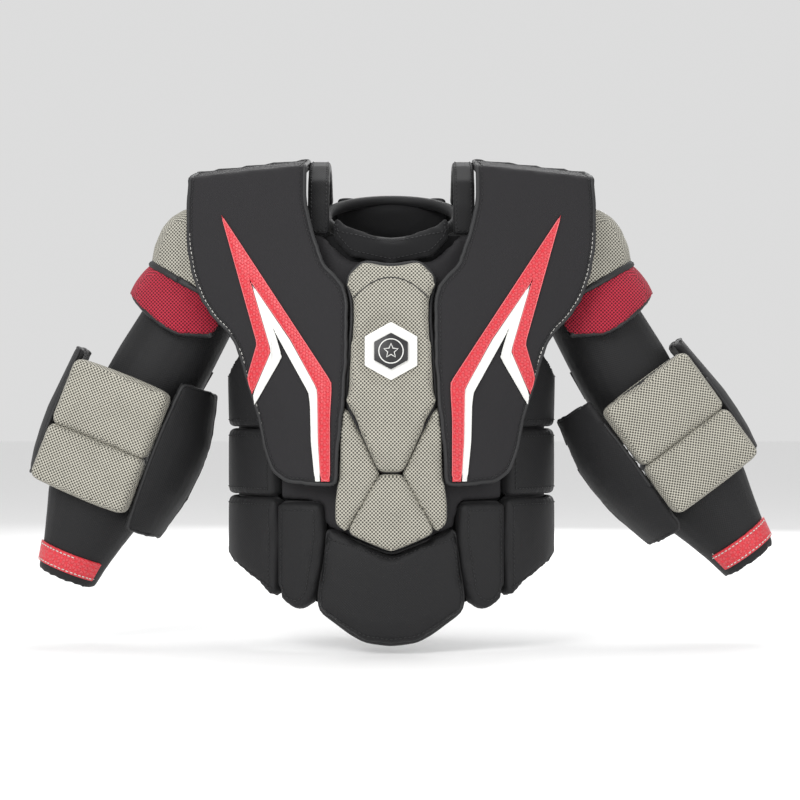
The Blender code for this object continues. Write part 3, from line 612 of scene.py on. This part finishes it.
def stitch_mesh(name, runs, tree, finish, body):
    """Sew short stitches along runs laid on a surface."""
    sizes = bpy.context.scene.protector_sizes
    shape = bmesh.new()
    for points, closed in runs:
        even = even_run(points, closed, sizes.stitch_gap, 0)
        laid = laid_on(even, tree, 0.00035)
        for number, (place, normal) in enumerate(laid):
            onward = laid[(number + 1) % len(laid)][0] if closed or number < len(laid) - 1 else \
                place + (place - laid[number - 1][0])
            along = (onward - place)
            if along.length < 1e-6 or along.length > 3 * sizes.stitch_gap:
                continue
            along.normalize()
            across = normal.cross(along).normalized()
            basis = Matrix((along, across, normal)).transposed().to_4x4()
            basis.translation = place
            made = bmesh.ops.create_cube(shape, size=1)["verts"]
            bmesh.ops.scale(shape, vec=(sizes.stitch, 0.0011, 0.0009), verts=made)
            bmesh.ops.transform(shape, matrix=basis, verts=made)
    mesh = bpy.data.meshes.new(name)
    shape.to_mesh(mesh)
    shape.free()
    piece = bpy.data.objects.new(name, mesh)
    bpy.context.scene.collection.objects.link(piece)
    return dress(piece, finish, body)


def from_middle(point):
    """Direction out of the body at a point of the torso."""
    return Vector((point.x * 0.45, point.y, 0)).normalized()


def forward(point):
    """Straight to the front, or up on the shoulder shelf."""
    return Vector((0, -1, 0)) if point.z < 0.005 else Vector((0, -0.6, 0.8))


def pipe_round(node, cover, radius, outward, finish="piping", lift=0.0, least=0.55):
    """Pipe the rim of a node's outer face and lay the piping on its cover."""
    tree = surface_of(cover)
    runs = []
    for points, closed in rim_loops(node, outward, least):
        even = even_run(points, closed, RIM_STEP)
        runs.append(([place for place, _ in laid_on(even, tree, lift)], closed))
    if not runs:
        raise RuntimeError(f"no rim was found on {node}")
    return tube(f"{node}_piping", runs, radius, finish, BODY_OF[node])


def stitch_round(node, cover, inset, outward, finish="thread", part=None, name="stitching",
                 least=0.55):
    """Stitch along the rim of a node's outer face, set in from the edge."""
    tree = surface_of(cover)
    runs = []
    for points, closed in rim_loops(node, outward, least):
        even = even_run(points, closed, 0.005)
        moved = inset_run(even, closed, tree, inset, outward)
        if part:
            keep = []
            for point in moved:
                if part(point):
                    keep.append(point)
                elif len(keep) > 4:
                    runs.append((keep, False))
                    keep = []
                else:
                    keep = []
            if len(keep) > 4:
                runs.append((keep, False))
        else:
            runs.append((moved, closed))
    return stitch_mesh(f"{node}_{name}", runs, tree, finish, BODY_OF[node])


# ---------------------------------------------------------------- operators

class PieceOperator:
    """Shared settings of the building operators."""
    bl_options = {"REGISTER", "UNDO"}


class PROTECTOR_OT_torso(PieceOperator, bpy.types.Operator):
    """Chest panel, belly pad, side blocks, collar and lining"""
    bl_idname = "protector.torso"
    bl_label = "Torso pads"

    def execute(self, context):
        sizes = context.scene.protector_sizes
        soft_pad("chest_panel", 4, False)
        sheet_copy("vest_liner")
        for node in ("belly_pad", "collar_front", "collar_back"):
            cover = soft_pad(node, 5)
            if node != "collar_back":
                stitch_round(node, cover, sizes.stitch_inset * 1.3, from_middle, "piping")
        make_neckline()
        for word, _ in SIDES:
            blocks = [f"{word}_{piece}"
                      for piece in ("rib_upper", "rib_lower", "hip_block", "waist_block")]
            for node in blocks:
                cover = soft_pad(node, 5)
                stitch_round(node, cover, sizes.stitch_inset * 1.4, from_middle, "piping")
            edging_behind(f"{word}_block_edging", blocks, from_middle, 0.013,
                          sizes.piping * 1.5)
        edging_behind("belly_edging", ["belly_pad"], from_middle, 0.013, sizes.piping * 1.5)
        return {"FINISHED"}


class PROTECTOR_OT_sternum(PieceOperator, bpy.types.Operator):
    """Grey mesh breastbone pads with their black edging, and the badge"""
    bl_idname = "protector.sternum"
    bl_label = "Breastbone pads"

    def execute(self, context):
        sizes = context.scene.protector_sizes
        low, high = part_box("badge_plate")
        middle = Vector(((low.x + high.x) / 2, 0, (low.z + high.z) / 2))

        def clear_of_badge(point):
            away = math.hypot(point.x - middle.x, point.z - middle.z)
            return max(0.0, min(1.0, (away - BADGE_CLEARANCE) / BADGE_BLEND))

        cells = ("sternum_upper", "sternum_lower", "left_sternum_side", "right_sternum_side")
        for node in cells:
            soft_pad(node, 7, True, voxel=0.004, held=clear_of_badge)
        edging_behind("sternum_edging", cells, from_middle, 0.011, sizes.piping * 1.6)
        make_fold()
        trim_copy("badge_plate", 0.0008)
        trim_copy("badge_core", 0.0006)
        make_emblem()
        return {"FINISHED"}


def edging_behind(name, nodes, outward, depth, radius):
    """Black edging round pads, below their faces, that shows in the joins between them."""
    runs = []
    for node in nodes:
        for points, closed in rim_loops(node, outward):
            even = even_run(points, closed, RIM_STEP)
            runs.append(([point - outward(point) * depth for point in even], closed))
    if not runs:
        raise RuntimeError(f"{name} has no rim to follow")
    return tube(name, runs, radius, "piping", BODY_OF[nodes[0]])


def make_fold():
    """Fold across the top of the upper breastbone pad."""
    tree = surface_of(bpy.data.objects["sternum_upper_cover"])
    points = []
    for step in range(25):
        across = -0.050 + 0.100 * step / 24
        place = tree.ray_cast(Vector((across, -0.5, -0.118 - 12 * across * across)),
                              Vector((0, 1, 0)))[0]
        if place:
            points.append(place)
    tube("sternum_fold", [(points, False)], 0.0007, "piping", "torso")


def make_neckline():
    """Rounded band that runs round the neck opening from the front collar to the rear one."""
    front_low, front_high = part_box("collar_front")
    rear_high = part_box("collar_back")[1]
    wide = front_high.x + 0.008
    points = []
    for step in range(64):
        turn = 2 * math.pi * step / 64
        share = (1 - math.cos(turn)) / 2
        ahead = front_low.y + 0.012
        back = rear_high.y - 0.010
        depth = ahead + (back - ahead) * share
        height = -0.074 + (rear_high.z + 0.074 - 0.004) * share ** 0.8
        points.append(Vector((wide * math.sin(turn), depth, height)))
    tube("neckline_band", [(points, True)], NECK_BAND_RADIUS, "nylon", "torso")


def make_emblem():
    """Generic badge mark: a ring with a small star inside it."""
    low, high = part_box("badge_core")
    face = low.y - 0.0002
    middle = Vector(((low.x + high.x) / 2, face, (low.z + high.z) / 2))
    radius = (high.x - low.x) * 0.36
    lean = 0.155
    ring = []
    star = []
    for step in range(40):
        turn = 2 * math.pi * step / 40
        ring.append(Vector((radius * math.cos(turn), 0, radius * math.sin(turn))))
    for step in range(10):
        turn = math.pi / 2 + math.pi * step / 5
        reach = radius * (0.62 if step % 2 == 0 else 0.28)
        star.append(Vector((reach * math.cos(turn), 0, reach * math.sin(turn))))
    runs = []
    for points in (ring, star):
        runs.append(([middle + point + Vector((0, point.z * lean + abs(point.x) * 0.06 + 0.0035, 0))
                      for point in points], True))
    tube("badge_ring", runs, 0.0007, "white_vinyl", "torso")


class PROTECTOR_OT_flaps(PieceOperator, bpy.types.Operator):
    """Chest flaps with their piping, stitching and coloured trims"""
    bl_idname = "protector.flaps"
    bl_label = "Chest flaps"

    def execute(self, context):
        sizes = context.scene.protector_sizes
        for word, side in SIDES:
            node = f"{word}_chest_flap"
            cover = soft_pad(node, 3, False, voxel=0.004)
            pipe_round(node, cover, sizes.piping * 1.35, forward)
            stitch_round(node, cover, sizes.stitch_inset, forward, "piping")
            stitch_round(node, cover, sizes.stitch_inset * 0.55, forward, "thread",
                         lambda point, side=side: -0.30 < point.z < -0.06
                         and side * point.x > 0.145, "edge_thread")
            for trim in ("red_chevron", "white_chevron"):
                band = trim_copy(f"{word}_{trim}", 0.0007)
                # The red chevron's edge is piped in the lighter red, a painted highlight.
                pipe_round(f"{word}_{trim}", band, 0.0007,
                           forward, "red_edge_highlight" if trim == "red_chevron" else "white_vinyl")
        return {"FINISHED"}


class PROTECTOR_OT_shoulders(PieceOperator, bpy.types.Operator):
    """Shoulder caps with their bindings"""
    bl_idname = "protector.shoulders"
    bl_label = "Shoulder caps"

    def execute(self, context):
        sizes = context.scene.protector_sizes
        for word, side in SIDES:
            pivot = joint_place(f"{word}_arm_raise")

            def outward(point, pivot=pivot):
                return (point - pivot).normalized()

            for piece, fill in (("shoulder_cap", 0.6), ("deltoid_cap", 0.5)):
                node = f"{word}_{piece}"
                cover = soft_pad(node, 3, False, voxel=0.004)
                pipe_round(node, cover, sizes.binding, outward, lift=0.001, least=0.5)
        return {"FINISHED"}


def limb_turn(word, limb):
    """Lean of the arm or forearm in the front view; the wrist tab's hinge lies along the forearm."""
    if limb == "forearm":
        axis = next(Vector(joint["axis"]) for joint in frame["joints"]
                    if joint["name"] == f"{word}_wrist_tab_open")
        axis = axis if axis.z > 0 else -axis
    else:
        axis = joint_place(f"{word}_arm_raise") - joint_place(f"{word}_elbow_bend")
    return math.atan2(axis.x, axis.z)


def make_elbow_sleeve(word):
    """Gathered cloth sleeve that bridges the elbow between the upper arm and the forearm."""
    shoulder = joint_place(f"{word}_arm_raise")
    elbow = joint_place(f"{word}_elbow_bend")
    turn = limb_turn(word, "forearm")
    up = (shoulder - elbow).normalized()
    down = -Vector((math.sin(turn), 0, math.cos(turn)))
    points = [elbow + up * (0.064 - 0.004 * step) for step in range(17)]
    points += [elbow + down * 0.004 * step for step in range(1, 16)]
    points = even_run(points, False, 0.0025, 6)
    curve = bpy.data.curves.new(f"{word}_elbow_sleeve", "CURVE")
    curve.dimensions = "3D"
    curve.bevel_depth = ELBOW_SLEEVE_RADIUS
    curve.bevel_resolution = 9
    spline = curve.splines.new("POLY")
    spline.points.add(len(points) - 1)
    for number, (place, point) in enumerate(zip(spline.points, points)):
        place.co = (*point, 1)
        place.radius = 1.0 + 0.035 * math.sin(number * 1.25) + 0.02 * math.sin(number * 0.6)
    piece = bpy.data.objects.new(f"{word}_elbow_sleeve", curve)
    bpy.context.scene.collection.objects.link(piece)
    only(piece)
    bpy.ops.object.convert(target="MESH")
    piece = bpy.context.view_layer.objects.active
    apply_modifier(piece, "SOLIDIFY", thickness=0.002, offset=-1.0)
    piece.data.materials.clear()
    piece.data.materials.append(FINISHES["nylon"])
    only(piece)
    bpy.ops.object.shade_smooth()
    cloth_map(piece, turn)
    elbow + up * 0.030
    elbow + down * 0.030
    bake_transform(piece)


class PROTECTOR_OT_arms(PieceOperator, bpy.types.Operator):
    """Sleeves, elbow guards, wings, forearm shells and wrist tabs"""
    bl_idname = "protector.arms"
    bl_label = "Arms"

    def execute(self, context):
        sizes = context.scene.protector_sizes
        for word, _ in SIDES:
            soft_pad(f"{word}_upper_arm_shell", 3, False, limb_turn(word, "arm"), 0.004)
            trim_copy(f"{word}_upper_arm_strap", 0.0006)
            make_elbow_sleeve(word)
            turn = limb_turn(word, "forearm")
            for piece in ("upper", "lower"):
                node = f"{word}_elbow_guard_{piece}"
                soft_pad(node, 5, True, turn, 0.004)
            elbow = joint_place(f"{word}_elbow_bend")
            low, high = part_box(f"{word}_elbow_guard_lower")
            facing = (low + high) / 2 - elbow
            facing = Vector((facing.x * 0.3, facing.y, 0)).normalized()
            edging_behind(f"{word}_guard_edging",
                          [f"{word}_elbow_guard_upper", f"{word}_elbow_guard_lower"],
                          lambda point, facing=facing: facing, 0.010, sizes.piping * 1.5)
            for piece in ("inner_wing", "outer_wing", "forearm_shell"):
                node = f"{word}_{piece}"
                cover = soft_pad(node, 3, False, turn, 0.004)

                def outward(point, elbow=elbow):
                    return Vector((point.x - elbow.x, point.y - elbow.y, 0)).normalized()

                if piece != "forearm_shell":
                    pipe_round(node, cover, sizes.piping, outward, least=0.4)
            tab = trim_copy(f"{word}_wrist_tab", 0.0009, 2, turn)

            def ahead(point):
                return Vector((0, -1, 0))

            stitch_round(f"{word}_wrist_tab", tab, 0.0030, ahead, "thread", least=0.3)
        return {"FINISHED"}


class PROTECTOR_OT_harness(PieceOperator, bpy.types.Operator):
    """Yoke straps, back yoke, spine pad, webbing and buckles"""
    bl_idname = "protector.harness"
    bl_label = "Back and straps"

    def execute(self, context):
        sizes = context.scene.protector_sizes
        for node, swell, fill in (("back_yoke", False, 0.5), ("spine_pad", True, 0.7)):
            cover = soft_pad(node, 4, swell)
            pipe_round(node, cover, sizes.piping, from_middle)
            stitch_round(node, cover, sizes.stitch_inset * 1.6, from_middle)
        for word, _ in SIDES:
            strap = soft_pad(f"{word}_yoke_strap", 3, False, voxel=0.004)

            def up(point):
                return Vector((0, point.y, point.z + 0.10)).normalized()

            stitch_round(f"{word}_yoke_strap", strap, sizes.stitch_inset * 0.6, up, "piping")
            for piece in ("arm_hanger", "side_strap"):
                trim_copy(f"{word}_{piece}", 0.0005)
            for piece in ("buckle_socket", "buckle_insert"):
                trim_copy(f"{word}_{piece}", 0.0010)
            trim_copy(f"{word}_shoulder_toggle", 0.0015, 3)
        return {"FINISHED"}


class PROTECTOR_OT_stage(PieceOperator, bpy.types.Operator):
    """Pale floor, soft studio light and the camera"""
    bl_idname = "protector.stage"
    bl_label = "Stage"

    def execute(self, context):
        scene = context.scene
        low, high = (Vector(corner) for corner in CAD_BOX)
        bpy.ops.object.select_all(action="DESELECT")
        bpy.ops.mesh.primitive_plane_add(size=30, location=(0, 0, low.z - 0.012))
        floor = context.active_object
        floor.name = "pale_floor"
        finish = Finish("pale_floor")
        floor.data.materials.append(finish.set(Base_Color=(0.93, 0.93, 0.93), Roughness=0.9))

        world = scene.world or bpy.data.worlds.new("studio")
        scene.world = world
        world.use_nodes = True
        world.node_tree.nodes["Background"].inputs[0].default_value = (1.0, 1.0, 1.0, 1)
        world.node_tree.nodes["Background"].inputs[1].default_value = 0.72

        middle = (low + high) / 2
        for name, place, size, power in (
                ("key_light", (-1.3, -2.3, 1.5), 1.4, 46),
                ("fill_light", (1.9, -2.0, 0.5), 1.8, 16),
                ("top_light", (0.1, 0.5, 2.2), 1.4, 24),
                ("back_light", (0.4, 2.4, 0.9), 1.6, 22)):
            bpy.ops.object.light_add(type="AREA", location=middle + Vector(place))
            light = context.active_object
            light.name = name
            light.data.size = size
            light.data.energy = power
            aim = middle - light.location
            light.rotation_euler = aim.to_track_quat("-Z", "Y").to_euler()

        data = bpy.data.cameras.new("camera")
        camera = bpy.data.objects.new("camera", data)
        scene.collection.objects.link(camera)
        data.lens = CAMERA_LENS
        data.sensor_width = 36
        camera.location = CAMERA_PLACE
        camera.rotation_euler = (math.radians(90), 0, 0)
        scene.camera = camera
        scene.view_settings.view_transform = "Standard"
        return {"FINISHED"}


OPERATORS = (PROTECTOR_OT_torso, PROTECTOR_OT_sternum, PROTECTOR_OT_flaps,
             PROTECTOR_OT_shoulders, PROTECTOR_OT_arms, PROTECTOR_OT_harness,
             PROTECTOR_OT_stage)


class PROTECTOR_PT_panel(bpy.types.Panel):
    """Buttons that build the protector"""
    bl_idname = "PROTECTOR_PT_panel"
    bl_label = "Chest and arm protector"
    bl_space_type = "VIEW_3D"
    bl_region_type = "UI"
    bl_category = "Protector"

    def draw(self, context):
        for operator in OPERATORS:
            self.layout.operator(operator.bl_idname)


CLASSES = (ProtectorSizes, ProtectorColours, *OPERATORS, PROTECTOR_PT_panel)


def register():
    """Register the classes and hang the settings on the scene."""
    for item in CLASSES:
        bpy.utils.register_class(item)
    bpy.types.Scene.protector_sizes = bpy.props.PointerProperty(type=ProtectorSizes)
    bpy.types.Scene.protector_colours = bpy.props.PointerProperty(type=ProtectorColours)


def unregister():
    """Take the settings and the classes away again."""
    del bpy.types.Scene.protector_sizes
    del bpy.types.Scene.protector_colours
    for item in reversed(CLASSES):
        bpy.utils.unregister_class(item)


def main():
    """Build everything."""
    register()
    make_finishes()
    bpy.ops.protector.stage()
    bpy.ops.protector.torso()
    bpy.ops.protector.sternum()
    bpy.ops.protector.flaps()
    bpy.ops.protector.shoulders()
    bpy.ops.protector.arms()
    bpy.ops.protector.harness()
    bpy.context.view_layer.update()


if __name__ == "__main__":
    main()
